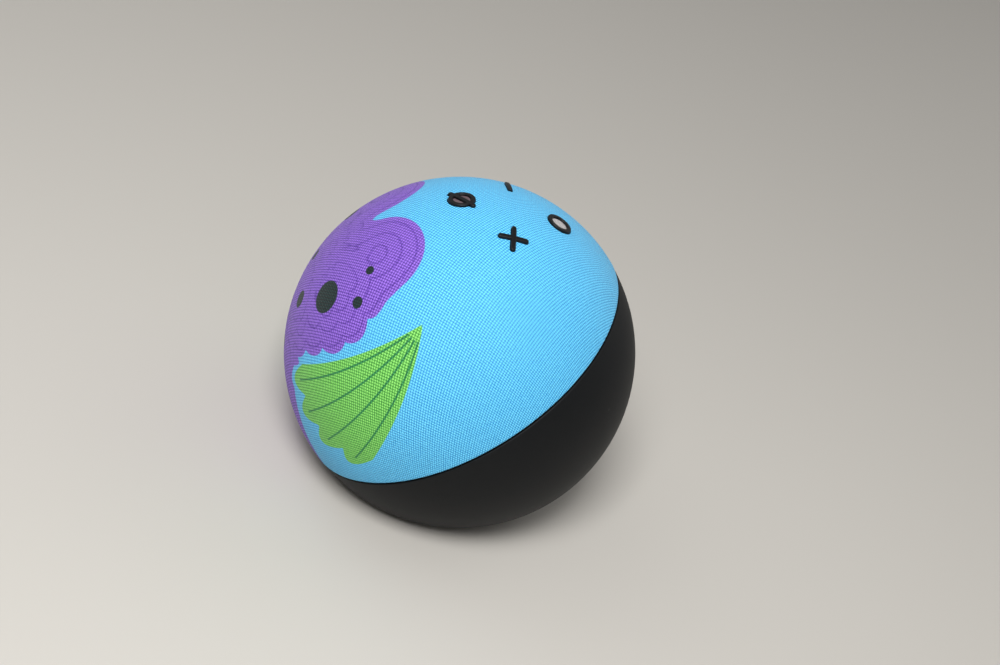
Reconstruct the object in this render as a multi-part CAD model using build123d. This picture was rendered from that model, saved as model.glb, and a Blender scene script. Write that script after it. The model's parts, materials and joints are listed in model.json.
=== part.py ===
from build123d import *
import os
from math import cos, radians, sin

os.makedirs("parts", exist_ok=True)

# A ball-shaped table speaker. A knitted cover is stretched over a perforated front shell, a
# plastic shell closes the rear, a light ring runs round the foot, and four buttons come up
# through the cover. +Z is up, the front faces -Y, and the origin is on the ground under the
# middle of the ball. Millimetres throughout. Heights called "above_centre" count from the
# ball's centre, and the others from the ground.

# ball, seam and shells
ball_radius = 50.0
ball_centre_z = 39.0
seam_tilt = 45.0
seam_gap = 0.3
cover_thickness = 0.8
cover_edge_radius = 0.35
grille_outer_radius = 49.1
grille_inner_radius = 47.1
rear_outer_radius = 49.85
rear_inner_radius = 47.5
rear_edge_radius = 0.3
gasket_inner_radius = 47.6
antenna_outer_radius = 47.4
inside_radius = 46.0            # nothing inside the shells reaches further out than this
grille_hole_radius = 1.2
grille_hole_pitch = 4.0
grille_field_radius = 22.0

# foot
foot_pad_radius = 27.2
foot_pad_height = 1.2
base_cover_radius = 28.0
base_cover_top = 3.0
base_screw_seat = 2.3
base_skirt_top = 6.0
base_skirt_wall = 1.6
light_ring_bottom = 0.8
light_ring_top = 2.5
light_ring_inner_radius = 28.2
light_guide_outer_radius = 30.2
light_guide_top = 7.0

# main board and chassis plate
board_radius = 30.0
board_bottom = 9.0
board_top = 10.4
led_count = 12
led_circle_radius = 29.2
led_size = 1.6
led_height = 0.8
plate_bottom = 13.0
plate_top = 15.0
plate_radius = 38.5
leg_circle_radius = 22.0
leg_radius = 3.5
leg_angles = (45, 135, 225, 315)
board_screw_spots = ((26.0, 0.0), (-26.0, 0.0), (8.9, -24.4), (-8.9, -24.4))
rear_boss_circle_radius = 35.5
rear_boss_radius = 3.0
rear_boss_angles = (-20, 20, 160, 200)
box_mount_spots = ((19.0, 6.0), (-19.0, 6.0), (19.0, -6.0), (-19.0, -6.0))
slot_half_width = 5.0
slot_front_y = 23.5
wire_y = -25.5
wire_radius = 0.5
wire_spacing = 1.2
grommet_radius = 3.0
connector_height = 1.8
chip_height = 1.0
pad_height = 0.6
processor_area = ((-8.0, 4.0), (-6.0, 6.0))
fin_positions = (18.0, 21.5, 25.0)
fin_thickness = 1.2

# power inlet, on the rear
inlet_z = 14.4
inlet_opening_radius = 4.4
jack_half_width = 4.0
jack_rear_y = 28.0
jack_body_y = 36.5
jack_nose_y = 40.0
jack_nose_radius = 3.6
jack_bore_radius = 2.3
jack_floor_y = 31.4
jack_pin_radius = 0.85
jack_pin_length = 8.0
jack_pin_rounding = 0.3
jack_tail_radius = 0.6

# speaker box and driver; driver heights count forward from the baffle's front face
driver_z = 40.0
baffle_front_y = -33.0
baffle_back_y = -30.0
box_front_y = -29.4
box_back_y = 22.0
box_half_width = 24.0
box_bottom = 17.0
box_top = 65.0
box_wall = 2.0
ear_spots = ((28.6, 52.0), (-28.6, 52.0), (28.6, 28.0), (-28.6, 28.0))
ear_radius = 3.4
ear_thickness = 2.0
baffle_screw_reach = (20.6, 20.4)
basket_radius = 23.0
basket_ear_circle_radius = 24.2
basket_ear_radius = 2.6
surround_middle_radius = 18.3
surround_roll_radius = 1.5
surround_thickness = 0.4
surround_height = 1.9
spider_inner_radius = 6.55
spider_rim_radius = 12.0
spider_bottom = -8.8
spider_waves = 3
pole_radius = 5.8
plate_hole_radius = 7.2
magnet_radius = 17.0
magnet_hole_radius = 8.4
coil_top = -10.45
coil_bottom = -14.05
lug_half_width = 4.5
lug_reach = 16.8
terminal_bottom = 22.2

# buttons and the boards under them
button_polar_angle = 16.0
button_top_radius = 50.6
button_clearance = 0.2
flange_outer_radius = 46.7
flange_inner_radius = 45.4
flange_radius = 5.75
stem_radius = 2.0
glyph_length = 8.3
glyph_stroke = 1.3
glyph_end_radius = 0.62
glyph_edge_radius = 0.25
ring_outer_radius = 3.55
ring_inner_radius = 2.35
slash_length = 9.7
slash_angle = 43.0
lens_top_radius = 50.05
lens_floor_above_centre = 46.2
lens_play = 0.1
guide_radius = 25.0
guide_bottom_above_centre = 37.0
guide_top_above_centre = 38.6
mic_board_bottom_above_centre = 30.0
mic_board_top_above_centre = 31.2
switch_top_above_centre = 33.2
stem_end_above_centre = 33.9
top_screw_circle_radius = 21.0
top_screw_angles = (45, 135, 225, 315)
microphone_circle_radius = 22.5
microphone_angles = (0, 90, 180, 270)

# ribbon cable between the two boards
ribbon_width = 6.0
ribbon_thickness = 0.3
ribbon_run_y = 25.0
ribbon_main_z = 11.1
ribbon_top_z = 68.2
ribbon_main_y = 18.2
ribbon_top_y = 15.2

# screws and their holes
shank_radius = 1.0
pilot_radius = 1.1
clear_radius = 1.3
head_radius = 1.9
head_height = 1.0

centred = (Align.CENTER, Align.CENTER, Align.CENTER)
upward = (Align.CENTER, Align.CENTER, Align.MIN)
reach = 140.0

tilt = radians(seam_tilt)
seam_plane = Plane(origin=(0, 0, ball_centre_z), x_dir=(1, 0, 0), z_dir=(0, -sin(tilt), cos(tilt)))
driver_plane = Plane(origin=(0, baffle_front_y, driver_z), x_dir=(1, 0, 0), z_dir=(0, -1, 0))
button_circle_radius = ball_radius * sin(radians(button_polar_angle))


# shapes used again and again

def ball(radius):
    return Pos(0, 0, ball_centre_z) * Sphere(radius)


def wall(outer_radius, inner_radius):
    return ball(outer_radius) - ball(inner_radius)


def front_side(offset):
    return seam_plane.offset(offset) * Box(reach, reach, reach, align=upward)


def rear_side(offset):
    return seam_plane.offset(-offset) * Rot(180, 0, 0) * Box(reach, reach, reach, align=upward)


def block(x_range, y_range, z_range):
    middle = [(low + high) / 2 for low, high in (x_range, y_range, z_range)]
    size = [high - low for low, high in (x_range, y_range, z_range)]
    return Pos(*middle) * Box(*size, align=centred)


def post(spot, bottom, top, radius):
    return Pos(spot[0], spot[1], bottom) * Cylinder(radius, top - bottom, align=upward)


def bar(spot, start_y, end_y, radius):
    return Pos(spot[0], start_y, spot[1]) * Rot(-90, 0, 0) * Cylinder(radius, end_y - start_y, align=upward)


def on_circle(radius, angles):
    return [(radius * cos(radians(angle)), radius * sin(radians(angle))) for angle in angles]


def turned(*points):
    return revolve(Plane.XZ * make_face(Polyline(*points, close=True)), Axis.Z)


def disc_ring(inner_radius, outer_radius, bottom, top):
    corners = ((inner_radius, bottom), (outer_radius, bottom), (outer_radius, top), (inner_radius, top))
    return turned(*corners)


# screws seat at one height and point to their tips, with their heads on the seat's other side
def screws(rod, spots, seat, tip):
    head_end = seat - head_height if tip > seat else seat + head_height
    group = Part()
    for spot in spots:
        group += rod(spot, min(seat, head_end), max(seat, head_end), head_radius)
        group += rod(spot, min(seat, tip), max(seat, tip), shank_radius)
    return group


def above(height):
    return ball_centre_z + height


# buttons: outlines seen from above, each with room to grow for the opening round it

def stroke_outline(length, grow):
    return RectangleRounded(length + 2 * grow, glyph_stroke + 2 * grow, glyph_end_radius + grow)


def plus_outline(grow=0.0):
    return stroke_outline(glyph_length, grow) + Rot(0, 0, 90) * stroke_outline(glyph_length, grow)


def minus_outline(grow=0.0):
    return stroke_outline(glyph_length, grow)


def disc_outline(grow=0.0):
    return Circle(ring_outer_radius + grow)


def slash_outline(grow=0.0):
    return Rot(0, 0, slash_angle) * stroke_outline(slash_length, grow)


def slashed_outline(grow=0.0):
    return disc_outline(grow) + slash_outline(grow)


def column(outline, spot, bottom=38.0, height=15.0):
    return Pos(spot[0], spot[1], above(bottom)) * extrude(outline, height)


buttons = {
    "volume_up_button": (plus_outline, (button_circle_radius, 0)),
    "volume_down_button": (minus_outline, (-button_circle_radius, 0)),
    "action_button": (disc_outline, (0, button_circle_radius)),
    "mic_off_button": (slashed_outline, (0, -button_circle_radius)),
}


def button_openings():
    openings = Part()
    for outline, spot in buttons.values():
        openings += column(outline(button_clearance), spot)
    return openings


def make_button(outline, spot):
    glyph = (column(outline(), spot) & ball(button_top_radius)) - ball(flange_inner_radius + 0.2)
    flange = wall(flange_outer_radius, flange_inner_radius)
    flange = flange & post(spot, above(38), above(50), flange_radius)
    stem = post(spot, above(stem_end_above_centre + 1.1), above(50), stem_radius) & ball(46.0)
    tip = post(spot, above(stem_end_above_centre), above(stem_end_above_centre + 1.1), stem_radius - 0.5)
    return glyph + flange + stem + tip


# rounds the edges where the glyph's sides meet its domed top
def soften_top(button):
    middle = Vector(0, 0, ball_centre_z)
    rim = []
    for edge in button.edges():
        reaches = [(edge.position_at(part) - middle).length for part in (0, 0.3, 0.7, 1)]
        if max(reaches) - min(reaches) < 0.01 and abs(reaches[0] - button_top_radius) < 0.01:
            rim.append(edge)
    return fillet(rim, glyph_edge_radius)


def make_lens(spot, with_slash):
    outline = Circle(ring_inner_radius - lens_play)
    if with_slash:
        outline -= slash_outline(lens_play)
    return column(outline, spot, bottom=lens_floor_above_centre) & ball(lens_top_radius)


def make_ring_button(outline, spot, with_slash):
    recess = Circle(ring_inner_radius)
    if with_slash:
        recess -= slash_outline()
    return soften_top(make_button(outline, spot) - column(recess, spot, bottom=lens_floor_above_centre))


# shells and cover

def soften(part, radius, amount):
    circles = part.edges().filter_by(GeomType.CIRCLE)
    return fillet([edge for edge in circles if abs(edge.radius - radius) < 0.05], amount)


def make_cover():
    cover = wall(ball_radius, ball_radius - cover_thickness) & front_side(seam_gap)
    return soften(cover, ball_radius, cover_edge_radius) - button_openings()


def grille_holes():
    holes = Part()
    rows = int(grille_field_radius / grille_hole_pitch) + 2
    for row in range(-rows, rows + 1):
        for step in range(-2 * rows, 2 * rows + 1):
            x = (step + row / 2) * grille_hole_pitch
            z = row * grille_hole_pitch * sin(radians(60))
            if x * x + z * z < grille_field_radius ** 2:
                holes += bar((x, driver_z + z), -60, -35, grille_hole_radius)
    return holes


def make_grille():
    grille = wall(grille_outer_radius, grille_inner_radius) & front_side(seam_gap)
    grille = grille - button_openings() - grille_holes()
    top_spots = on_circle(top_screw_circle_radius, top_screw_angles)
    for spot in top_spots:
        grille += post(spot, above(guide_top_above_centre), above(45), 2.6) & ball(48.0)
    for spot in ear_spots:
        grille += bar(spot, -45, baffle_back_y, 2.75) & ball(48.0)
    for spot in top_spots:
        grille -= post(spot, above(guide_top_above_centre), above(41.6), pilot_radius)
    for spot in ear_spots:
        grille -= bar(spot, -34.6, baffle_back_y, pilot_radius)
    return grille


def make_rear_shell():
    shell = wall(rear_outer_radius, rear_inner_radius) & rear_side(seam_gap)
    shell = soften(shell, rear_outer_radius, rear_edge_radius)
    shell -= bar((0, inlet_z), 36, 60, inlet_opening_radius)
    spots = on_circle(rear_boss_circle_radius, rear_boss_angles)
    for spot in spots:
        shell += post(spot, light_ring_top + 2, plate_bottom, rear_boss_radius) & ball(48.5)
    for spot in spots:
        shell -= post(spot, plate_bottom - 6, plate_bottom, pilot_radius)
    return shell - block((-reach, reach), (-reach, reach), (-reach, light_ring_top))


def make_seam_gasket():
    ring = wall(grille_outer_radius, gasket_inner_radius)
    return ring & (seam_plane * Box(reach, reach, 2 * seam_gap, align=centred))


# foot

def make_foot_pad():
    pad = post((0, 0), 0, foot_pad_height, foot_pad_radius)
    return fillet(pad.edges().filter_by(GeomType.CIRCLE).sort_by(Axis.Z)[0], 0.4)


def make_base_cover():
    cover = post((0, 0), foot_pad_height, base_cover_top, base_cover_radius)
    skirt_inner_radius = base_cover_radius - base_skirt_wall
    cover += disc_ring(skirt_inner_radius, base_cover_radius, base_cover_top, base_skirt_top)
    for spot in on_circle(leg_circle_radius, leg_angles):
        cover -= post(spot, foot_pad_height, base_screw_seat, head_radius + 0.3)
        cover -= post(spot, foot_pad_height, base_cover_top, clear_radius)
    return cover


def make_light_ring():
    ring = post((0, 0), light_ring_bottom, light_ring_top, ball_radius) & ball(rear_outer_radius)
    return ring - post((0, 0), light_ring_bottom, light_ring_top, light_ring_inner_radius)


def make_light_guide():
    return disc_ring(light_ring_inner_radius, light_guide_outer_radius, light_ring_top, light_guide_top)


# electronics on the main board

def make_main_board():
    board = post((0, 0), board_bottom, board_top, board_radius)
    for spot in on_circle(leg_circle_radius, leg_angles):
        board -= post(spot, board_bottom, board_top, leg_radius + 0.4)
    for spot in board_screw_spots:
        board -= post(spot, board_bottom, board_top, clear_radius)
    return board


def make_leds():
    leds = Part()
    for number in range(led_count):
        angle = (number + 0.5) * 360 / led_count
        lamp = Pos(led_circle_radius, 0, board_bottom - led_height / 2) * Box(led_size, led_size, led_height)
        leds += Rot(0, 0, angle) * lamp
    return leds


def on_board(x_range, y_range, height):
    return block(x_range, y_range, (board_top, board_top + height))


def make_thermal_pad():
    return block(*processor_area, (board_top + chip_height, board_top + chip_height + pad_height))


def make_capacitors():
    cans = Part()
    for spot in ((8, 21), (-8, 21), (9, 26), (-9, 26)):
        cans += post(spot, board_top, board_top + 2.2, 1.6)
    return cans


def make_inductors():
    return on_board((-14.5, -10.5), (4.5, 8.5), 2.0) + on_board((-14.5, -10.5), (-10, -6), 2.0)


def make_chassis():
    plate = post((0, 0), plate_bottom, plate_top, plate_radius) & ball(inside_radius + 0.4)
    plate -= block((-slot_half_width, slot_half_width), (slot_front_y, 60), (0, 60))
    plate -= block((-4, 4), (wire_y - 2, wire_y + 2), (0, 60))
    plate += block(*processor_area, (board_top + chip_height + pad_height, plate_bottom))
    fins = Part()
    for x in fin_positions:
        for side in (-x, x):
            fins += block((side - fin_thickness / 2, side + fin_thickness / 2), (23.5, 35), (plate_top, 22))
    plate += fins & ball(inside_radius)
    leg_spots = on_circle(leg_circle_radius, leg_angles)
    for spot in leg_spots:
        plate += post(spot, base_cover_top, plate_bottom, leg_radius)
    for spot in board_screw_spots:
        plate += post(spot, board_top, plate_bottom, 2.5)
    for spot in box_mount_spots:
        plate += post(spot, plate_top, box_bottom, 3.2)
    for spot in leg_spots:
        plate -= post(spot, base_cover_top, 9.5, pilot_radius)
    for spot in board_screw_spots:
        plate -= post(spot, board_top, 14.2, pilot_radius)
    for spot in box_mount_spots:
        plate -= post(spot, plate_bottom, box_bottom, clear_radius)
    for spot in on_circle(rear_boss_circle_radius, rear_boss_angles):
        plate -= post(spot, plate_bottom, plate_top, clear_radius)
    return plate


def make_jack_body():
    width = (-jack_half_width, jack_half_width)
    body = block(width, (jack_rear_y, jack_body_y), (board_top, inlet_z + jack_half_width))
    body += bar((0, inlet_z), jack_body_y, jack_nose_y, jack_nose_radius)
    body -= bar((0, inlet_z), jack_floor_y, jack_nose_y, jack_bore_radius)
    return body - bar((0, inlet_z), jack_rear_y, jack_floor_y, jack_tail_radius)


def make_jack_pin():
    pin = bar((0, inlet_z), jack_floor_y, jack_floor_y + jack_pin_length, jack_pin_radius)
    pin = fillet(pin.edges().filter_by(GeomType.CIRCLE).sort_by(Axis.Y)[-1], jack_pin_rounding)
    return pin + bar((0, inlet_z), jack_rear_y, jack_floor_y, jack_tail_radius)


def make_jack_contact():
    return block((-0.8, 0.8), (33, 38), (inlet_z + 1.85, inlet_z + 2.1))


def make_antennas():
    patch = block((25, 45), (18, 34), (above(-8), above(12)))
    return wall(antenna_outer_radius, antenna_outer_radius - 0.3) & (patch + mirror(patch, Plane.YZ))


# speaker box

def box_outline(front_y, back_y, inset, radius):
    width = (-box_half_width + inset, box_half_width - inset)
    return block(width, (front_y, back_y), (box_bottom + inset, box_top - inset)) & ball(radius)


def corner_spots():
    x, z = baffle_screw_reach
    return [(side * x, driver_z + end * z) for side in (-1, 1) for end in (-1, 1)]


def driver_ear_spots():
    return on_circle(basket_ear_circle_radius, (45, 135, 225, 315))


def make_baffle():
    baffle = box_outline(baffle_front_y, baffle_back_y, 0, inside_radius)
    baffle -= bar((0, driver_z), baffle_front_y, baffle_back_y, 20.8)
    for spot in corner_spots():
        baffle -= bar(spot, baffle_front_y, baffle_back_y, clear_radius)
    for spot in driver_ear_spots():
        baffle -= driver_plane * post(spot, -2.6, 0, pilot_radius)
    return baffle


def make_box():
    box = box_outline(box_front_y, box_back_y, 0, inside_radius)
    box -= box_outline(box_front_y - 1, box_back_y - box_wall, box_wall, inside_radius - box_wall)
    ear_back_y = baffle_back_y + ear_thickness
    for x, z in ear_spots:
        inner_edge = box_half_width if x > 0 else -box_half_width
        arm = block(sorted((inner_edge, x)), (baffle_back_y, ear_back_y), (z - ear_radius, z + ear_radius))
        box += (arm + bar((x, z), baffle_back_y, ear_back_y, ear_radius)) & ball(inside_radius)
    inside = box_outline(box_front_y, box_back_y, 0.5, inside_radius - 0.5)
    for spot in corner_spots():
        box += bar(spot, box_front_y, -20, 2.8) & inside
    for spot in box_mount_spots:
        box += post(spot, box_bottom + 1, 24, 2.8)
    for spot in ear_spots:
        box -= bar(spot, baffle_back_y, ear_back_y, clear_radius)
    for spot in corner_spots():
        box -= bar(spot, box_front_y, -22, pilot_radius)
    for spot in box_mount_spots:
        box -= post(spot, box_bottom, 23, pilot_radius)
    return box - post((0, wire_y), box_bottom, box_bottom + box_wall, grommet_radius + 0.1)


def make_box_seal():
    seal = box_outline(baffle_back_y, box_front_y, 0.2, inside_radius - 0.4)
    seal -= box_outline(baffle_back_y - 1, box_front_y + 1, box_wall, inside_radius - box_wall)
    for spot in corner_spots():
        seal -= bar(spot, baffle_back_y, box_front_y, clear_radius)
    return seal


def make_grommet():
    plug = post((0, wire_y), box_bottom, box_bottom + box_wall, grommet_radius)
    plug += post((0, wire_y), box_bottom + box_wall, box_bottom + box_wall + 0.8, grommet_radius + 0.9)
    for side in (-1, 1):
        plug -= post((side * wire_spacing, wire_y), box_bottom, box_top, wire_radius + 0.1)
    return plug


# the leads are pulled tight, so they run straight from the connector up to the terminals
def make_leads():
    lead = post((wire_spacing, wire_y), board_top + connector_height, terminal_bottom, wire_radius)
    return lead + mirror(lead, Plane.YZ)


# driver, drawn standing up and then turned to face the front

def make_basket():
    basket = turned(
        (19.4, 1.7), (basket_radius, 1.7), (basket_radius, 0.5), (20.4, 0.5), (20.4, -0.6), (14.6, -9.4),
        (14.6, -11.0), (8.2, -11.0), (8.2, -10.0), (11.6, -10.0), (11.6, -8.8), (13.4, -8.8), (19.4, -0.4),
    )
    for angle in range(0, 360, 60):
        basket -= Rot(0, 0, angle) * Pos(17, 0, -4.8) * Box(10, 8, 5.0, align=centred)
    for spot in driver_ear_spots():
        basket += post(spot, 0.5, 1.7, basket_ear_radius) - post((0, 0), 0, 3, basket_radius - 1)
    for spot in driver_ear_spots():
        basket -= post(spot, 0.5, 1.7, clear_radius - 0.1)
    lug = block((-lug_half_width, lug_half_width), (-lug_reach, -14), (-11, -6.4))
    lug -= post((0, 0), -12, 0, 15.4)
    return driver_plane * (basket + lug)


def make_driver_gasket():
    gasket = disc_ring(20.6, basket_radius, 0, 0.5)
    for spot in driver_ear_spots():
        gasket += post(spot, 0, 0.5, basket_ear_radius) - post((0, 0), -1, 3, basket_radius - 1)
    for spot in driver_ear_spots():
        gasket -= post(spot, 0, 0.5, clear_radius - 0.1)
    return driver_plane * gasket


def make_surround():
    outer = surround_roll_radius + surround_thickness / 2
    inner = surround_roll_radius - surround_thickness / 2
    front_half = Pos(surround_middle_radius, surround_height + 2) * Rectangle(8, 4)
    roll = Pos(surround_middle_radius, surround_height) * (Circle(outer) - Circle(inner)) & front_half
    cone_flat = Pos(16.0, surround_height) * Rectangle(1.6, surround_thickness)
    basket_flat = Pos(20.6, surround_height) * Rectangle(2.0, surround_thickness)
    return driver_plane * revolve(Plane.XZ * (roll + cone_flat + basket_flat), Axis.Z)


def make_spider():
    spider = disc_ring(spider_rim_radius, 13.2, spider_bottom, spider_bottom + 0.4)
    pitch = (spider_rim_radius - spider_inner_radius) / spider_waves
    for number in range(spider_waves):
        low = spider_inner_radius + number * pitch
        crest = low + pitch / 2
        valley = low + pitch
        underside = ((low, spider_bottom), (crest, spider_bottom + 0.6), (valley, spider_bottom))
        spider += turned(*underside, *((radius, height + 0.4) for radius, height in reversed(underside)))
    return driver_plane * spider


def make_cone():
    return driver_plane * turned(
        (6.6, -5.2), (15.2, 1.3), (16.8, 1.3), (16.8, 1.7), (15.0, 1.7), (6.6, -4.6),
    )


def make_dust_cap():
    dome_radius = 12.0
    rim_radius = 7.4
    rim_z = -3.95
    centre_z = rim_z - (dome_radius ** 2 - rim_radius ** 2) ** 0.5
    dome = Pos(0, 0, centre_z) * (Sphere(dome_radius) - Sphere(dome_radius - 0.35))
    return driver_plane * (dome & block((-8, 8), (-8, 8), (rim_z, 5)))


def make_yoke():
    yoke = post((0, 0), -23.3, -20.5, magnet_radius - 0.5)
    return driver_plane * (yoke + post((0, 0), -20.5, -11.0, pole_radius))


def driver_ring(inner_radius, outer_radius, bottom, top):
    return driver_plane * disc_ring(inner_radius, outer_radius, bottom, top)


def make_terminal_strip():
    half = lug_half_width - 0.1
    return block((-half, half), (wire_y - 1.1, wire_y + 1.5), (terminal_bottom, driver_z - lug_reach))


# boards under the buttons

def make_button_guide():
    guide = post((0, 0), above(guide_bottom_above_centre), above(guide_top_above_centre), guide_radius)
    spots = [spot for outline, spot in buttons.values()]
    screw_spots = on_circle(top_screw_circle_radius, top_screw_angles)
    for spot in spots:
        guide += post(spot, above(36), above(40), 3.6)
    for spot in screw_spots:
        guide += post(spot, above(mic_board_top_above_centre), above(guide_bottom_above_centre), 2.6)
    for spot in spots:
        guide -= post(spot, above(36), above(40), stem_radius + button_clearance)
    for spot in screw_spots:
        guide -= post(spot, above(mic_board_top_above_centre), above(guide_top_above_centre), clear_radius)
    for spot in on_circle(microphone_circle_radius, microphone_angles):
        guide -= post(spot, above(guide_bottom_above_centre), above(guide_top_above_centre), 1.2)
    return guide


def make_mic_board():
    bottom = above(mic_board_bottom_above_centre)
    top = above(mic_board_top_above_centre)
    board = post((0, 0), bottom, top, guide_radius)
    for spot in on_circle(top_screw_circle_radius, top_screw_angles):
        board -= post(spot, bottom, top, clear_radius)
    return board


def make_switches():
    switches = Part()
    for outline, spot in buttons.values():
        height = switch_top_above_centre - mic_board_top_above_centre
        base = above(mic_board_top_above_centre)
        switches += Pos(spot[0], spot[1], base) * Box(5.2, 5.2, height, align=upward)
    return switches


def make_microphones():
    seat = above(mic_board_top_above_centre)
    capsule = Pos(microphone_circle_radius, 0, seat) * Box(3.0, 4.0, 1.1, align=upward)
    capsules = Part()
    for angle in microphone_angles:
        capsules += Rot(0, 0, angle) * capsule
    return capsules


def make_ribbon():
    route = FilletPolyline(
        (0, ribbon_main_y, ribbon_main_z),
        (0, ribbon_run_y, ribbon_main_z),
        (0, ribbon_run_y, ribbon_top_z),
        (0, ribbon_top_y, ribbon_top_z),
        radius=[3.0, 6.0],
    )
    start = Plane(origin=route @ 0, x_dir=(1, 0, 0), z_dir=route % 0)
    return sweep(start * Rectangle(ribbon_width, ribbon_thickness), path=route)


def make_ribbon_connectors():
    width = (-4.5, 4.5)
    depth = 4.2
    top_board = above(mic_board_bottom_above_centre)
    main_end = on_board(width, (ribbon_main_y - depth, ribbon_main_y), 1.4)
    return main_end + block(width, (ribbon_top_y - depth, ribbon_top_y), (top_board - 1.6, top_board))


nodes = {
    "fabric_cover": make_cover(),
    "grille_shell": make_grille(),
    "rear_shell": make_rear_shell(),
    "seam_gasket": make_seam_gasket(),
    "foot_pad": make_foot_pad(),
    "base_cover": make_base_cover(),
    "light_ring": make_light_ring(),
    "light_guide": make_light_guide(),
    "base_screws": screws(post, on_circle(leg_circle_radius, leg_angles), base_screw_seat, 9.0),
    "main_board": make_main_board(),
    "ring_leds": make_leds(),
    "processor_chip": on_board(*processor_area, chip_height),
    "memory_chip": on_board((6, 14), (-5.5, 5.5), chip_height),
    "amplifier_chip": on_board((-16, -10), (-4, 2), 0.9),
    "wireless_shield": on_board((-4, 8), (-21, -11), 1.8),
    "capacitors": make_capacitors(),
    "inductors": make_inductors(),
    "speaker_connector": on_board((-3, 3), (wire_y - 2, wire_y + 2), connector_height),
    "board_screws": screws(post, board_screw_spots, board_bottom, 13.8),
    "thermal_pad": make_thermal_pad(),
    "heat_sink": make_chassis(),
    "chassis_screws": screws(post, on_circle(rear_boss_circle_radius, rear_boss_angles), plate_top, 7.5),
    "power_jack_body": make_jack_body(),
    "power_jack_pin": make_jack_pin(),
    "power_jack_contact": make_jack_contact(),
    "antennas": make_antennas(),
    "speaker_baffle": make_baffle(),
    "speaker_box": make_box(),
    "box_seal": make_box_seal(),
    "box_mount_screws": screws(post, box_mount_spots, plate_bottom, 22.0),
    "baffle_screws": screws(bar, corner_spots(), baffle_front_y, -23.0),
    "ear_screws": screws(bar, ear_spots, baffle_back_y + ear_thickness, -34.0),
    "wire_grommet": make_grommet(),
    "speaker_leads": make_leads(),
    "driver_gasket": make_driver_gasket(),
    "driver_basket": make_basket(),
    "driver_screws": driver_plane * screws(post, driver_ear_spots(), 1.7, -2.4),
    "terminal_strip": make_terminal_strip(),
    "pole_plate": driver_ring(plate_hole_radius, magnet_radius - 0.5, -13.5, -11.0),
    "magnet": driver_ring(magnet_hole_radius, magnet_radius, -20.5, -13.5),
    "magnet_yoke": make_yoke(),
    "driver_surround": make_surround(),
    "driver_spider": make_spider(),
    "driver_cone": make_cone(),
    "dust_cap": make_dust_cap(),
    "voice_coil_former": driver_ring(6.15, 6.3, -16.0, -4.5),
    "voice_coil": driver_ring(6.35, 6.8, coil_bottom, coil_top),
    "button_guide": make_button_guide(),
    "mic_board": make_mic_board(),
    "top_screws": screws(post, on_circle(top_screw_circle_radius, top_screw_angles), above(30), above(41)),
    "tact_switches": make_switches(),
    "microphones": make_microphones(),
    "ribbon_cable": make_ribbon(),
    "ribbon_connectors": make_ribbon_connectors(),
    "volume_up_button": soften_top(make_button(*buttons["volume_up_button"])),
    "volume_down_button": soften_top(make_button(*buttons["volume_down_button"])),
    "action_button": make_ring_button(*buttons["action_button"], with_slash=False),
    "action_button_lens": make_lens(buttons["action_button"][1], with_slash=False),
    "mic_off_button": make_ring_button(*buttons["mic_off_button"], with_slash=True),
    "mic_off_button_lens": make_lens(buttons["mic_off_button"][1], with_slash=True),
}

for name, shape in nodes.items():
    export_step(shape, f"parts/{name}.step")
    print(name, len(shape.solids()), "solids", round(shape.volume, 1), "mm3")
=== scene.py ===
import json
import math

import bmesh
import bpy
import numpy as np
from mathutils import Euler, Matrix, Vector


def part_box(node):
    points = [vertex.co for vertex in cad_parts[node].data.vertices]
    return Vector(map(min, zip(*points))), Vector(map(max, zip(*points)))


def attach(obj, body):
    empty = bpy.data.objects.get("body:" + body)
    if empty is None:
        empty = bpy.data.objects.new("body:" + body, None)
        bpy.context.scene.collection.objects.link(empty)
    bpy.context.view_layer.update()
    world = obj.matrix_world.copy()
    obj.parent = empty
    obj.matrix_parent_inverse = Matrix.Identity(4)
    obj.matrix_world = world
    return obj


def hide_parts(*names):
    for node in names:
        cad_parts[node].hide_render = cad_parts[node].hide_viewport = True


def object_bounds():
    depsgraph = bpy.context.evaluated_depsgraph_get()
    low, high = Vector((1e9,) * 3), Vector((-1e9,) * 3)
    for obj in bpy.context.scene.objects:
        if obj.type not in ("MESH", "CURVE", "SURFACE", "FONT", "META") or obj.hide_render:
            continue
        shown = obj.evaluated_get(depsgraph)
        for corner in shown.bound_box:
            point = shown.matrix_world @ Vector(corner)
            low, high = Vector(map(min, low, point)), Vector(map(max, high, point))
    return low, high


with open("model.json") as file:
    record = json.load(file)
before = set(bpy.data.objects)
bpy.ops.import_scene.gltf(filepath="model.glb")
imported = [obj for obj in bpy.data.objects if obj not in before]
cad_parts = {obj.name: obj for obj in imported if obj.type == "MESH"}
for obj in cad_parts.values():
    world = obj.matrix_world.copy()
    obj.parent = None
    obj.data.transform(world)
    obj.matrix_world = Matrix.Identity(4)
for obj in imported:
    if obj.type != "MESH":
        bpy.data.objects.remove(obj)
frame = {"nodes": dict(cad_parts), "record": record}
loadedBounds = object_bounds()
loadedLow, loadedHigh = (Vector(corner) for corner in loadedBounds)
print("frame loaded:", len(frame["nodes"]), "nodes")

# the ball's own axes: out of the middle of the cover, and up the cover towards the buttons
mm = 0.001
ballRadius = (loadedHigh.x - loadedLow.x) / 2
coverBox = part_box("fabric_cover")
leanAngle = math.radians(45)
ballCentre = Vector((0, 0, coverBox[1][2] - ballRadius))
coverAxis = Vector((0, -math.sin(leanAngle), math.cos(leanAngle)))
coverUp = Vector((0, math.cos(leanAngle), math.sin(leanAngle)))


# small helpers for node trees

def linkOrSet(tree, socket, value):
    if isinstance(value, bpy.types.NodeSocket):
        tree.links.new(value, socket)
    else:
        socket.default_value = value


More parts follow.
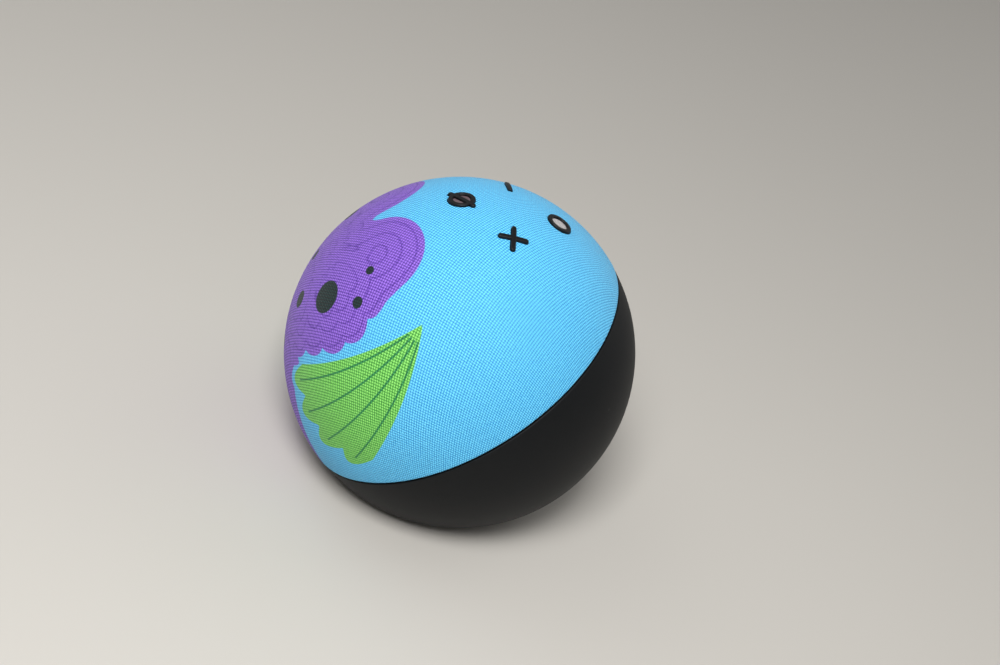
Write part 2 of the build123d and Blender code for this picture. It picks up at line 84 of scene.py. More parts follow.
def calculate(tree, operation, first, second=0.0, clamp=False):
    node = tree.nodes.new("ShaderNodeMath")
    node.operation = operation
    node.use_clamp = clamp
    linkOrSet(tree, node.inputs[0], first)
    linkOrSet(tree, node.inputs[1], second)
    return node.outputs[0]


def mixColour(tree, amount, first, second):
    node = tree.nodes.new("ShaderNodeMix")
    node.data_type = "RGBA"
    linkOrSet(tree, node.inputs["Factor"], amount)
    linkOrSet(tree, node.inputs["A"], first)
    linkOrSet(tree, node.inputs["B"], second)
    return node.outputs["Result"]


def mapValue(tree, value, fromLow, fromHigh, toLow=0.0, toHigh=1.0):
    node = tree.nodes.new("ShaderNodeMapRange")
    node.inputs["From Min"].default_value = fromLow
    node.inputs["From Max"].default_value = fromHigh
    node.inputs["To Min"].default_value = toLow
    node.inputs["To Max"].default_value = toHigh
    linkOrSet(tree, node.inputs["Value"], value)
    return node.outputs["Result"]


def newMaterial(name):
    material = bpy.data.materials.new(name)
    material.use_nodes = True
    return material, material.node_tree.nodes["Principled BSDF"]


screenFull = 255
screenGamma = 2.2


# a colour as a screen shows it, made linear
def screenColour(red, green, blue):
    return tuple((part / screenFull) ** screenGamma for part in (red, green, blue)) + (1.0,)


def newGeometryTree(name, inputs):
    tree = bpy.data.node_groups.new(name, "GeometryNodeTree")
    tree.interface.new_socket(name="Geometry", in_out="OUTPUT", socket_type="NodeSocketGeometry")
    for label, kind in inputs.items():
        tree.interface.new_socket(name=label, in_out="INPUT", socket_type=kind)
    return tree, tree.nodes.new("NodeGroupInput"), tree.nodes.new("NodeGroupOutput")


# runs a tree on an empty object and keeps the result as a plain mesh object
def pieceFromTree(name, tree, values):
    maker = bpy.data.objects.new(name + "Maker", bpy.data.meshes.new(name + "Maker"))
    bpy.context.collection.objects.link(maker)
    modifier = maker.modifiers.new(name, "NODES")
    modifier.node_group = tree
    for socket in tree.interface.items_tree:
        if socket.in_out == "INPUT" and socket.name in values:
            modifier[socket.identifier] = values[socket.name]
    piece = bakedCopy(name, maker)
    bpy.data.objects.remove(maker)
    return piece


def bakedCopy(name, source):
    bpy.context.view_layer.update()
    graph = bpy.context.evaluated_depsgraph_get()
    mesh = bpy.data.meshes.new_from_object(source.evaluated_get(graph))
    mesh.name = name
    piece = bpy.data.objects.new(name, mesh)
    bpy.context.collection.objects.link(piece)
    return piece


mergeDistance = 1e-7  # metres


def pointOutwards(mesh):
    shape = bmesh.new()
    shape.from_mesh(mesh)
    bmesh.ops.remove_doubles(shape, verts=shape.verts, dist=mergeDistance)
    bmesh.ops.recalc_face_normals(shape, faces=shape.faces)
    shape.to_mesh(mesh)
    shape.free()


# the knitted cover

knitCover = {
    "thickness": 0.8 * mm,
    "seamGap": 0.3 * mm,
    "around": 480,  # points round it, and then rows down it
    "outerRings": 128,
    "hemRings": 6,
    "innerRings": 16,
    "poleMerge": 0.001 * mm,  # closes the pole and the join down the side
    "sharpAngle": 50,  # degrees, past which an edge is shaded sharp
    "flatDiameter": 141 * mm,  # the round cut before it is stretched over the dome
}

def coverTree():
    tree, given, result = newGeometryTree("knitCoverShape", {
        "Radius": "NodeSocketFloat",
        "Thickness": "NodeSocketFloat",
        "Edge angle": "NodeSocketFloat",
        "Around": "NodeSocketInt",
        "Outer rings": "NodeSocketInt",
        "Hem rings": "NodeSocketInt",
        "Inner rings": "NodeSocketInt",
        "Lean": "NodeSocketRotation",
        "Centre": "NodeSocketVector",
        "Material": "NodeSocketMaterial",
    })
    outer, hem, inner = (given.outputs[label] for label in ("Outer rings", "Hem rings", "Inner rings"))
    radius, thickness = given.outputs["Radius"], given.outputs["Thickness"]
    rings = calculate(tree, "ADD", calculate(tree, "ADD", outer, hem), inner)

    # a grid one wide about its middle, so half a side more makes its places run from 0 to 1
    halfSide = 0.5
    grid = tree.nodes.new("GeometryNodeMeshGrid")
    grid.inputs["Size X"].default_value = 2 * halfSide
    grid.inputs["Size Y"].default_value = 2 * halfSide
    tree.links.new(calculate(tree, "ADD", given.outputs["Around"], 1), grid.inputs["Vertices X"])
    tree.links.new(calculate(tree, "ADD", rings, 1), grid.inputs["Vertices Y"])
    place = tree.nodes.new("ShaderNodeSeparateXYZ")
    tree.links.new(tree.nodes.new("GeometryNodeInputPosition").outputs[0], place.inputs[0])

    # down the outside, round the hem, and back up the inside
    shareAround = calculate(tree, "ADD", place.outputs["X"], halfSide)
    shareAlong = calculate(tree, "ADD", place.outputs["Y"], halfSide)
    turn = calculate(tree, "MULTIPLY", shareAround, 2 * math.pi)
    ring = calculate(tree, "MULTIPLY", shareAlong, rings)
    down = calculate(tree, "DIVIDE", ring, outer, clamp=True)
    pastOuter = calculate(tree, "SUBTRACT", ring, outer)
    roll = calculate(tree, "DIVIDE", pastOuter, hem, clamp=True)
    back = calculate(tree, "DIVIDE", calculate(tree, "SUBTRACT", pastOuter, hem), inner, clamp=True)
    halfThick = calculate(tree, "MULTIPLY", thickness, 0.5)
    rollAngle = calculate(tree, "MULTIPLY", roll, math.pi)
    hemReach = calculate(tree, "MULTIPLY", calculate(tree, "SINE", rollAngle), halfThick)
    hemFall = calculate(tree, "SUBTRACT", calculate(tree, "COSINE", rollAngle), 1)
    hemDepth = calculate(tree, "MULTIPLY", hemFall, halfThick)
    share = calculate(tree, "SUBTRACT", down, back)
    slope = calculate(tree, "MULTIPLY", share, given.outputs["Edge angle"])
    slope = calculate(tree, "ADD", slope, calculate(tree, "DIVIDE", hemReach, radius))
    reach = calculate(tree, "ADD", radius, hemDepth)
    spread = calculate(tree, "MULTIPLY", reach, calculate(tree, "SINE", slope))
    point = tree.nodes.new("ShaderNodeCombineXYZ")
    tree.links.new(calculate(tree, "MULTIPLY", spread, calculate(tree, "COSINE", turn)), point.inputs["X"])
    tree.links.new(calculate(tree, "MULTIPLY", spread, calculate(tree, "SINE", turn)), point.inputs["Y"])
    tree.links.new(calculate(tree, "MULTIPLY", reach, calculate(tree, "COSINE", slope)), point.inputs["Z"])

    setPlace = tree.nodes.new("GeometryNodeSetPosition")
    tree.links.new(grid.outputs["Mesh"], setPlace.inputs["Geometry"])
    tree.links.new(point.outputs[0], setPlace.inputs["Position"])
    merge = tree.nodes.new("GeometryNodeMergeByDistance")
    merge.inputs["Distance"].default_value = knitCover["poleMerge"]
    tree.links.new(setPlace.outputs[0], merge.inputs["Geometry"])
    leanOver = tree.nodes.new("GeometryNodeTransform")
    tree.links.new(merge.outputs[0], leanOver.inputs["Geometry"])
    tree.links.new(given.outputs["Centre"], leanOver.inputs["Translation"])
    tree.links.new(given.outputs["Lean"], leanOver.inputs["Rotation"])
    finishTree(tree, given, result, leanOver.outputs[0])
    return tree


def finishTree(tree, given, result, geometry):
    realize = tree.nodes.new("GeometryNodeRealizeInstances")
    tree.links.new(geometry, realize.inputs[0])
    paint = tree.nodes.new("GeometryNodeSetMaterial")
    tree.links.new(realize.outputs[0], paint.inputs["Geometry"])
    tree.links.new(given.outputs["Material"], paint.inputs["Material"])
    tree.links.new(paint.outputs[0], result.inputs[0])


# the four openings, each the outline of its button and a little more
openings = {
    "topRadius": 50,  # mm, of the ball that the buttons stand on
    "circleAngle": 16,  # degrees from its top to the buttons' circle
    "play": 0.2 * mm,
    "strokeLength": 8.3 * mm,
    "strokeWidth": 1.3 * mm,
    "ringRadius": 3.55 * mm,
    "slashLength": 9.7 * mm,
    "slashAngle": 43,  # degrees
    "endSteps": 12,  # round each end of a stroke
    "discSteps": 72,  # round a whole disc
    "cutFrom": 0.8,  # the cutters reach from here to here, as shares of the ball's radius
    "cutTo": 1.2,
}


def strokeCutter(length, angle, place):
    wide = openings["strokeWidth"] / 2 + openings["play"]
    half = length / 2 + openings["play"] - wide
    outline = []
    for end, start in ((half, -90), (-half, 90)):
        for step in range(openings["endSteps"] + 1):
            turn = math.radians(start + 180 / openings["endSteps"] * step)
            outline.append(Vector((end + wide * math.cos(turn), wide * math.sin(turn), 0)))
    return prism([Matrix.Rotation(math.radians(angle), 3, "Z") @ point for point in outline], place)


def discCutter(radius, place):
    steps = openings["discSteps"]
    turns = [math.radians(360 / steps * step) for step in range(steps)]
    return prism([Vector((radius * math.cos(turn), radius * math.sin(turn), 0)) for turn in turns], place)


def prism(outline, place):
    shape = bmesh.new()
    rows = []
    for share in (openings["cutFrom"], openings["cutTo"]):
        height = ballCentre.z + share * ballRadius
        rows.append([shape.verts.new((p.x + place[0], p.y + place[1], height)) for p in outline])
    shape.faces.new(reversed(rows[0]))
    shape.faces.new(rows[1])
    for step in range(len(outline)):
        after = (step + 1) % len(outline)
        shape.faces.new((rows[0][step], rows[0][after], rows[1][after], rows[1][step]))
    mesh = bpy.data.meshes.new("cutter")
    bmesh.ops.recalc_face_normals(shape, faces=shape.faces)
    shape.to_mesh(mesh)
    shape.free()
    cutter = bpy.data.objects.new("cutter", mesh)
    bpy.context.collection.objects.link(cutter)
    return cutter


def openingCutters():
    out = openings["topRadius"] * math.sin(math.radians(openings["circleAngle"])) * mm
    discRadius = openings["ringRadius"] + openings["play"]
    stroke, slash = openings["strokeLength"], openings["slashLength"]
    return [
        strokeCutter(stroke, 0, (out, 0)),
        strokeCutter(stroke, 90, (out, 0)),
        strokeCutter(stroke, 0, (-out, 0)),
        discCutter(discRadius, (0, out)),
        discCutter(discRadius, (0, -out)),
        strokeCutter(slash, openings["slashAngle"], (0, -out)),
    ]


def cutOpenings(piece):
    cutters = openingCutters()
    for cutter in cutters:
        modifier = piece.modifiers.new("opening", "BOOLEAN")
        modifier.operation = "DIFFERENCE"
        modifier.solver = "EXACT"
        modifier.object = cutter
    cut = bakedCopy(piece.name, piece)
    for leftOver in cutters + [piece]:
        bpy.data.objects.remove(leftOver)
    return cut


# the print, drawn flat: u across the front and v up it, in mm from the cover's middle

patch = {
    "lobes": ((15, 1, 13.4), (17, -14, 18.5), (3, -34, 23), (0, -15, 14)),  # u, v and radius, both sides
    "blend": 5,
    "lines": 3,
    "lineSpacing": 4.2,
    "lineWidth": 0.45,
    "scallop": 2.4,
    "scallops": 22,
    "scallopMiddle": -16,  # v of the point that they fan out from
    "scallopTop": 2,  # v below which they begin
    "scallopRise": 8,  # mm over which they reach their full depth
    "scallopPower": 0.7,
    "scallopSink": 0.9,
    "band": (21, -40, 0.62),  # half the width of the band below, and where and how fast it widens
    "bandTop": -30,
}

leaf = {
    "tip": (39.2, 8.2),
    "innerSide": (12, -0.63),  # degrees at the tip, degrees per mm further down
    "outerSide": (62, -0.70),
    "length": 52,
    "bulge": 6,  # the middle reaches this much further
    "lobes": 4,
    "lobeHeight": 6,
    "veinWidth": 0.6,
    "veinStart": 5,
    "veinMargin": 4,  # left between a vein's end and its lobe's
    "border": 2.2,  # sky left round the leaf
}

# u, v and radius of each dot, placed unevenly
spots = (
    (17.5, -17.5, 4.6), (26, -8, 1.7), (7, -29, 2.5), (-7, -22, 1.9), (-16, -9, 2.6), (-14, -32, 3.3),
    (-24, -20, 1.5), (4, -46, 1.8), (-5, -57, 2.7), (13, -63, 1.7), (19, -2, 1.3),
)


tiny = 1e-9  # keeps the very middle from dividing by zero
farOutside = -99.0


def flatPlaces(mesh):
    points = np.empty(len(mesh.vertices) * 3)
    mesh.vertices.foreach_get("co", points)
    points = points.reshape(-1, 3) - np.array(ballCentre)
    points /= np.linalg.norm(points, axis=1)[:, None]
    across, upward = points[:, 0], points @ np.array(coverUp)
    slope = np.arccos(np.clip(points @ np.array(coverAxis), -1, 1))
    flat = np.maximum(np.hypot(across, upward), tiny)
    scale = slope * ballRadius / mm / flat
    return across * scale, upward * scale


def smoothUnion(first, second, blend):
    near = np.clip(0.5 + 0.5 * (first - second) / blend, 0, 1)
    return second + (first - second) * near + blend * near * (1 - near)


# depths are in mm, above zero inside
def leafDepths(u, v):
    across, down = np.abs(u) - leaf["tip"][0], leaf["tip"][1] - v
    reach = np.hypot(across, down)
    angle = np.degrees(np.arctan2(across, down))
    inner = leaf["innerSide"][0] + leaf["innerSide"][1] * reach
    outer = leaf["outerSide"][0] + leaf["outerSide"][1] * reach
    share = (angle - inner) / (outer - inner)
    width = np.radians(outer - inner) * reach
    lobeRise = np.abs(np.sin(math.pi * leaf["lobes"] * np.clip(share, 0, 1)))
    bulge = leaf["bulge"] * np.sin(math.pi * np.clip(share, 0, 1))
    longest = leaf["length"] + bulge + leaf["lobeHeight"] * (lobeRise - 1)
    depth = np.minimum(np.minimum(share, 1 - share) * width, longest - reach)
    veinEnd = np.minimum(longest - leaf["veinMargin"] - reach, reach - leaf["veinStart"])
    return depth, share * leaf["lobes"], width / leaf["lobes"], veinEnd


def patchDepth(u, v, leafDepth):
    side = np.abs(u)
    depth = np.full(len(u), farOutside)
    for lobeU, lobeV, radius in patch["lobes"]:
        depth = smoothUnion(depth, radius - np.hypot(side - lobeU, v - lobeV), patch["blend"])
    bandWidth, widensAt, widening = patch["band"]
    bandWidth = bandWidth + widening * np.maximum(widensAt - v, 0)
    band = np.minimum(bandWidth - side, patch["bandTop"] - v)
    depth = smoothUnion(depth, band, patch["blend"])
    depth = np.minimum(depth, -leafDepth - leaf["border"])
    around = np.arctan2(v - patch["scallopMiddle"], side)
    lower = np.clip((patch["scallopTop"] - v) / patch["scallopRise"], 0, 1)
    wave = np.abs(np.sin(around * patch["scallops"] / 2))
    return depth + lower * patch["scallop"] * (wave ** patch["scallopPower"] - patch["scallopSink"])


def spotDepth(u, v):
    depth = np.full(len(u), farOutside)
    for spotU, spotV, radius in spots:
        depth = np.maximum(depth, radius - np.hypot(u - spotU, v - spotV))
    return depth


def paintPrint(mesh):
    u, v = flatPlaces(mesh)
    leafDepth, lobePlace, lobeWidth, veinEnd = leafDepths(u, v)
    depths = {
        "patchDepth": patchDepth(u, v, leafDepth),
        "leafDepth": leafDepth,
        "lobePlace": lobePlace,
        "lobeWidth": lobeWidth,
        "veinEnd": veinEnd,
        "spotDepth": spotDepth(u, v),
    }
    for name, values in depths.items():
        mesh.attributes.new(name, "FLOAT", "POINT").data.foreach_set("value", values.astype(np.float32))
    places = np.stack((u, v, np.zeros(len(u))), axis=1).astype(np.float32)
    mesh.attributes.new("flatPlace", "FLOAT_VECTOR", "POINT").data.foreach_set("vector", places.ravel())


def attributeNode(tree, name, output):
    node = tree.nodes.new("ShaderNodeAttribute")
    node.attribute_name = name
    return node.outputs[output]


# each print colour is given twice: darkened as painted shade for the gaps between yarns, and lightened as
# painted highlight for the yarn tops
printShadedAndLit = {
    "sky": ((28, 128, 196), (112, 214, 252)),  # painted shade in the gaps, painted highlight on the yarn tops
    "violet": ((62, 26, 130), (156, 112, 226)),
    "violetLine": ((52, 20, 112), (124, 82, 196)),
    "leaf": ((36, 122, 36), (140, 224, 108)),
    "vein": ((16, 84, 44), (54, 150, 84)),
    "spot": ((2, 10, 14), (14, 50, 50)),
}


clothFinish = {
    "yarnPitch": 0.78,  # mm
    "yarnHeight": 0.16 * mm,
    "yarnAngle": 45,
    "alongPower": 0.35,  # a yarn is flat along its run and round across it
    "acrossPower": 0.9,
    "fuzzGrain": 2600,  # per metre
    "fuzzDetail": 2,
    "fuzzRange": (0.3, 0.7),
    "fuzzHeight": 0.16,
    "shadeToHighlightHeights": (0.12, 0.95),  # heights at which the gaps' painted shade ends and the yarn tops' painted highlight is full
    "edgeSoftness": 0.1,  # mm each side of a printed edge
    "bumpStrength": 0.7,
    "roughness": 0.62,
    "specular": 0.35,
    "sheen": 0.08,
    "sheenRoughness": 0.5,
}


# yarns cross and take turns on top
def weaveHeight(tree):
    turned = tree.nodes.new("ShaderNodeVectorRotate")
    turned.rotation_type = "Z_AXIS"
    turned.inputs["Angle"].default_value = math.radians(clothFinish["yarnAngle"])
    tree.links.new(attributeNode(tree, "flatPlace", "Vector"), turned.inputs["Vector"])
    split = tree.nodes.new("ShaderNodeSeparateXYZ")
    tree.links.new(turned.outputs[0], split.inputs[0])
    cells, humps = [], []
    for axis in ("X", "Y"):
        run = calculate(tree, "DIVIDE", split.outputs[axis], clothFinish["yarnPitch"])
        cells.append(calculate(tree, "FLOOR", run))
        inCell = calculate(tree, "MULTIPLY", calculate(tree, "FRACT", run), math.pi)
        humps.append(calculate(tree, "SINE", inCell))
    turnOfTop = calculate(tree, "FLOORED_MODULO", calculate(tree, "ADD", cells[0], cells[1]), 2)
    wide = [calculate(tree, "POWER", hump, clothFinish["alongPower"]) for hump in humps]
    narrow = [calculate(tree, "POWER", hump, clothFinish["acrossPower"]) for hump in humps]
    one = calculate(tree, "MULTIPLY", wide[0], narrow[1])
    other = calculate(tree, "MULTIPLY", narrow[0], wide[1])
    first = calculate(tree, "MULTIPLY", one, turnOfTop)
    second = calculate(tree, "MULTIPLY", other, calculate(tree, "SUBTRACT", 1, turnOfTop))
    return calculate(tree, "ADD", first, second)


# one thin vein down the middle of each lobe
def veinDepth(tree, leafDepth):
    inLobe = calculate(tree, "FRACT", attributeNode(tree, "lobePlace", "Fac"))
    offMiddle = calculate(tree, "ABSOLUTE", calculate(tree, "SUBTRACT", inLobe, 0.5))
    aside = calculate(tree, "MULTIPLY", offMiddle, attributeNode(tree, "lobeWidth", "Fac"))
    depth = calculate(tree, "SUBTRACT", leaf["veinWidth"] / 2, aside)
    depth = calculate(tree, "MINIMUM", depth, attributeNode(tree, "veinEnd", "Fac"))
    return calculate(tree, "MINIMUM", depth, leafDepth)


# a few thin darker lines that follow the patch's edge
def patchLines(tree, depth):
    row = calculate(tree, "FRACT", calculate(tree, "DIVIDE", depth, patch["lineSpacing"]))
    offMiddle = calculate(tree, "ABSOLUTE", calculate(tree, "SUBTRACT", row, 0.5))
    aside = calculate(tree, "MULTIPLY", offMiddle, patch["lineSpacing"])
    line = calculate(tree, "SUBTRACT", patch["lineWidth"] / 2, aside)
    outerPart = calculate(tree, "SUBTRACT", patch["lines"] * patch["lineSpacing"], depth)
    return calculate(tree, "MINIMUM", line, calculate(tree, "MINIMUM", outerPart, depth))


def knitCloth():
    material, shader = newMaterial("knitCloth")
    tree = material.node_tree
    fuzz = tree.nodes.new("ShaderNodeTexNoise")
    fuzz.inputs["Scale"].default_value = clothFinish["fuzzGrain"]
    fuzz.inputs["Detail"].default_value = clothFinish["fuzzDetail"]
    objectPlace = tree.nodes.new("ShaderNodeTexCoord").outputs["Object"]
    tree.links.new(objectPlace, fuzz.inputs["Vector"])
    fuzzHeight, softness = clothFinish["fuzzHeight"], clothFinish["edgeSoftness"]
    fuzzRise = mapValue(tree, fuzz.outputs["Fac"], *clothFinish["fuzzRange"], -fuzzHeight, fuzzHeight)
    raised = calculate(tree, "ADD", weaveHeight(tree), fuzzRise)
    # the weave's height picks painted shade for the gaps and painted highlight for the yarn tops
    highlightShare = mapValue(tree, raised, *clothFinish["shadeToHighlightHeights"])

    # low holds the painted shade of the gaps and high the painted highlight of the yarn tops
    low, high = (screenColour(*shade) for shade in printShadedAndLit["sky"])
    depths = {name: attributeNode(tree, name, "Fac") for name in ("patchDepth", "leafDepth", "spotDepth")}
    layers = (
        ("violet", depths["patchDepth"]),
        ("violetLine", patchLines(tree, depths["patchDepth"])),
        ("leaf", depths["leafDepth"]),
        ("vein", veinDepth(tree, depths["leafDepth"])),
        ("spot", depths["spotDepth"]),
    )
    for name, depth in layers:
        inside = mapValue(tree, depth, -softness, softness)
        # this layer's print colour as painted gap shade and as painted yarn-top highlight
        gapShade, light = (screenColour(*shade) for shade in printShadedAndLit[name])
        low = mixColour(tree, inside, low, gapShade)
        high = mixColour(tree, inside, high, light)
    tree.links.new(mixColour(tree, highlightShare, low, high), shader.inputs["Base Color"])

    bump = tree.nodes.new("ShaderNodeBump")
    bump.inputs["Strength"].default_value = clothFinish["bumpStrength"]
    bump.inputs["Distance"].default_value = clothFinish["yarnHeight"]
    tree.links.new(raised, bump.inputs["Height"])
    tree.links.new(bump.outputs[0], shader.inputs["Normal"])
    shader.inputs["Roughness"].default_value = clothFinish["roughness"]
    shader.inputs["Specular IOR Level"].default_value = clothFinish["specular"]
    shader.inputs["Sheen Weight"].default_value = clothFinish["sheen"]
    shader.inputs["Sheen Roughness"].default_value = clothFinish["sheenRoughness"]
    return material


def makeCover():
    edgeAngle = math.acos((knitCover["seamGap"] + knitCover["thickness"] / 2) / ballRadius)
    cloth = knitCloth()
    cover = pieceFromTree("knitCover", coverTree(), {
        "Radius": ballRadius,
        "Thickness": knitCover["thickness"],
        "Edge angle": edgeAngle,
        "Around": knitCover["around"],
        "Outer rings": knitCover["outerRings"],
        "Hem rings": knitCover["hemRings"],
        "Inner rings": knitCover["innerRings"],
        "Lean": Euler((leanAngle, 0, 0)),
        "Centre": ballCentre,
        "Material": cloth,
    })
    pointOutwards(cover.data)
    cover = cutOpenings(cover)
    pointOutwards(cover.data)
    cover.name = "knitCover"
    cover.data.materials.clear()
    cover.data.materials.append(cloth)
    cover.data.polygons.foreach_set("use_smooth", [True] * len(cover.data.polygons))
    cover.data.set_sharp_from_angle(angle=math.radians(knitCover["sharpAngle"]))
    paintPrint(cover.data)
    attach(cover, "housing")
    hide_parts("fabric_cover")
    return cover


cover = makeCover()
print("cover made:", len(cover.data.polygons), "faces")


# grip dots under the foot pad

gripDots = {
    "circles": ((9.5 * mm, 12), (15.5 * mm, 20), (21.5 * mm, 28)),  # radius and count
    "radius": 1.0 * mm,
    "flatness": 0.35,
    "lift": 0.2 * mm,
    "segments": 14,
    "rings": 8,
}


def gripTree():
    inputs = {label: "NodeSocketFloat" for label in ("Dot radius", "Flatness", "Lift")}
    inputs["Material"] = "NodeSocketMaterial"
    for number in range(len(gripDots["circles"])):
        inputs[f"Circle {number}"] = "NodeSocketFloat"
        inputs[f"Count {number}"] = "NodeSocketInt"
    tree, given, result = newGeometryTree("gripDotPattern", inputs)
    join = tree.nodes.new("GeometryNodeJoinGeometry")
    for number in range(len(gripDots["circles"])):
        circle = tree.nodes.new("GeometryNodeMeshCircle")
        tree.links.new(given.outputs[f"Circle {number}"], circle.inputs["Radius"])
        tree.links.new(given.outputs[f"Count {number}"], circle.inputs["Vertices"])
        tree.links.new(circle.outputs[0], join.inputs[0])
    lift = tree.nodes.new("GeometryNodeTransform")
    liftBy = tree.nodes.new("ShaderNodeCombineXYZ")
    tree.links.new(given.outputs["Lift"], liftBy.inputs["Z"])
    tree.links.new(liftBy.outputs[0], lift.inputs["Translation"])
    tree.links.new(join.outputs[0], lift.inputs["Geometry"])
    dot = tree.nodes.new("GeometryNodeMeshUVSphere")
    dot.inputs["Segments"].default_value = gripDots["segments"]
    dot.inputs["Rings"].default_value = gripDots["rings"]
    tree.links.new(given.outputs["Dot radius"], dot.inputs["Radius"])
    flatten = tree.nodes.new("ShaderNodeCombineXYZ")
    flatten.inputs["X"].default_value = 1
    flatten.inputs["Y"].default_value = 1
    tree.links.new(given.outputs["Flatness"], flatten.inputs["Z"])
    placed = tree.nodes.new("GeometryNodeInstanceOnPoints")
    tree.links.new(lift.outputs[0], placed.inputs["Points"])
    tree.links.new(dot.outputs["Mesh"], placed.inputs["Instance"])
    tree.links.new(flatten.outputs[0], placed.inputs["Scale"])
    finishTree(tree, given, result, placed.outputs[0])
    return tree


# finishes for the CAD nodes, one row for each material slot:
# colour, roughness, metal share, bump in mm, grains per metre

finishes = {
    "grille_plastic": ((26, 26, 28), 0.6, 0, 0.03, 900),
    "rear_plastic": ((17, 19, 21), 0.6, 0, 0.03, 2200),
    "seam_rubber": ((14, 14, 15), 0.75, 0, 0.02, 900),
    "foot_rubber": ((24, 24, 25), 0.85, 0, 0.05, 1500),
    "base_plastic": ((30, 30, 32), 0.55, 0, 0.03, 1800),
    "diffuser_plastic": ((84, 85, 88), 0.45, 0, 0.02, 700),
    "guide_plastic": ((214, 220, 224), 0.25, 0, 0.0, 500),
    "screw_steel": ((122, 122, 126), 0.35, 1, 0.01, 2500),
    "circuit_board": ((24, 92, 58), 0.4, 0, 0.02, 1200),
    "led_plastic": ((232, 226, 196), 0.3, 0, 0.0, 500),
    "chip_plastic": ((22, 22, 24), 0.55, 0, 0.02, 2400),
    "shield_metal": ((176, 178, 182), 0.38, 1, 0.01, 900),
    "capacitor_metal": ((168, 170, 176), 0.35, 1, 0.01, 900),
    "ferrite": ((52, 50, 52), 0.7, 0, 0.03, 2000),
    "connector_plastic": ((226, 222, 208), 0.5, 0, 0.01, 900),
    "pad_silicone": ((150, 176, 190), 0.7, 0, 0.04, 1400),
    "chassis_zinc": ((150, 152, 156), 0.48, 1, 0.04, 1300),
    "jack_plastic": ((18, 18, 19), 0.5, 0, 0.01, 1200),
    "contact_brass": ((206, 170, 96), 0.3, 1, 0.01, 1600),
    "antenna_foil": ((198, 140, 96), 0.35, 1, 0.02, 1100),
    "box_plastic": ((34, 34, 36), 0.6, 0, 0.03, 1000),
    "seal_foam": ((40, 40, 42), 0.95, 0, 0.15, 1500),
    "lead_copper": ((176, 40, 36), 0.5, 0, 0.01, 1500),
    "basket_steel": ((44, 44, 47), 0.5, 1, 0.02, 1400),
    "pole_steel": ((152, 154, 158), 0.4, 1, 0.02, 1100),
    "magnet_ferrite": ((60, 60, 63), 0.65, 0, 0.04, 1700),
    "surround_rubber": ((20, 20, 21), 0.7, 0, 0.02, 1300),
    "spider_cloth": ((206, 160, 82), 0.9, 0, 0.08, 2600),
    "cone_paper": ((38, 38, 40), 0.85, 0, 0.08, 2200),
    "former_film": ((196, 132, 60), 0.4, 0, 0.01, 900),
    "coil_copper": ((198, 112, 68), 0.35, 1, 0.05, 3000),
    "guide_frame_plastic": ((30, 30, 32), 0.6, 0, 0.02, 1200),
    "ribbon_film": ((208, 130, 44), 0.4, 0, 0.01, 900),
    "button_plastic": ((12, 12, 14), 0.42, 0, 0.015, 2600),
    "lens_plastic": ((150, 146, 146), 0.3, 0, 0.01, 1500),
}

lensColours = {"action_button_lens": (176, 172, 171), "mic_off_button_lens": (98, 82, 86)}
mattSpecular = {"rear_plastic": 0.22, "button_plastic": 0.35}
otherSpecular = 0.5

mottle = {
    "detail": 3,
    "range": (0.35, 0.65),
    "darker": 0.82,
    "lighter": 1.18,
    "bumpStrength": 0.6,
}

# a few specks of dust on the black shell, in one cell in fifteen
lint = {
    "slot": "rear_plastic",
    "colour": (150, 148, 144),
    "cells": 130,  # per metre
    "edge": (0.075, 0.035),  # how far from a cell's middle a speck ends and is full
    "chosen": (0.93, 0.94),
    "strength": 0.7,
}


def plainFinish(name, slot, colour):
    roughness, metal, bumpHeight, grain = finishes[slot][1:]
    material, shader = newMaterial(name)
    tree = material.node_tree
    noise = tree.nodes.new("ShaderNodeTexNoise")
    noise.inputs["Scale"].default_value = grain
    noise.inputs["Detail"].default_value = mottle["detail"]
    objectPlace = tree.nodes.new("ShaderNodeTexCoord").outputs["Object"]
    tree.links.new(objectPlace, noise.inputs["Vector"])
    base = screenColour(*colour)
    darker = tuple(part * mottle["darker"] for part in base[:3]) + (1.0,)
    lighter = tuple(min(part * mottle["lighter"], 1) for part in base[:3]) + (1.0,)
    shade = mixColour(tree, mapValue(tree, noise.outputs["Fac"], *mottle["range"]), darker, lighter)
    if slot == lint["slot"]:
        shade = mixColour(tree, lintSpecks(tree, objectPlace), shade, screenColour(*lint["colour"]))
    tree.links.new(shade, shader.inputs["Base Color"])
    shader.inputs["Roughness"].default_value = roughness
    shader.inputs["Metallic"].default_value = metal
    shader.inputs["Specular IOR Level"].default_value = mattSpecular.get(slot, otherSpecular)
    if bumpHeight:
        bump = tree.nodes.new("ShaderNodeBump")
        bump.inputs["Strength"].default_value = mottle["bumpStrength"]
        bump.inputs["Distance"].default_value = bumpHeight * mm
        tree.links.new(noise.outputs["Fac"], bump.inputs["Height"])
        tree.links.new(bump.outputs[0], shader.inputs["Normal"])
    return material


def lintSpecks(tree, place):
    cells = tree.nodes.new("ShaderNodeTexVoronoi")
    cells.inputs["Scale"].default_value = lint["cells"]
    tree.links.new(place, cells.inputs["Vector"])
    split = tree.nodes.new("ShaderNodeSeparateColor")
    tree.links.new(cells.outputs["Color"], split.inputs[0])
    near = mapValue(tree, cells.outputs["Distance"], *lint["edge"])
    chosen = mapValue(tree, split.outputs[0], *lint["chosen"])
    return calculate(tree, "MULTIPLY", calculate(tree, "MULTIPLY", near, chosen), lint["strength"])


def finishNodes():
    made = {}
    for subpart in frame["record"]["subparts"]:
        name, slot = subpart["node"], subpart["material_slot"]
        if name == "fabric_cover":
            continue
        key = name if name in lensColours else slot
        if key not in made:
            made[key] = plainFinish(key + "Finish", slot, lensColours.get(name, finishes[slot][0]))
        node = frame["nodes"][name]
        if not node.material_slots:
            node.data.materials.append(made[key])
        for materialSlot in node.material_slots:
            materialSlot.material = made[key]
    return made


made = finishNodes()
print("finishes made:", len(made))


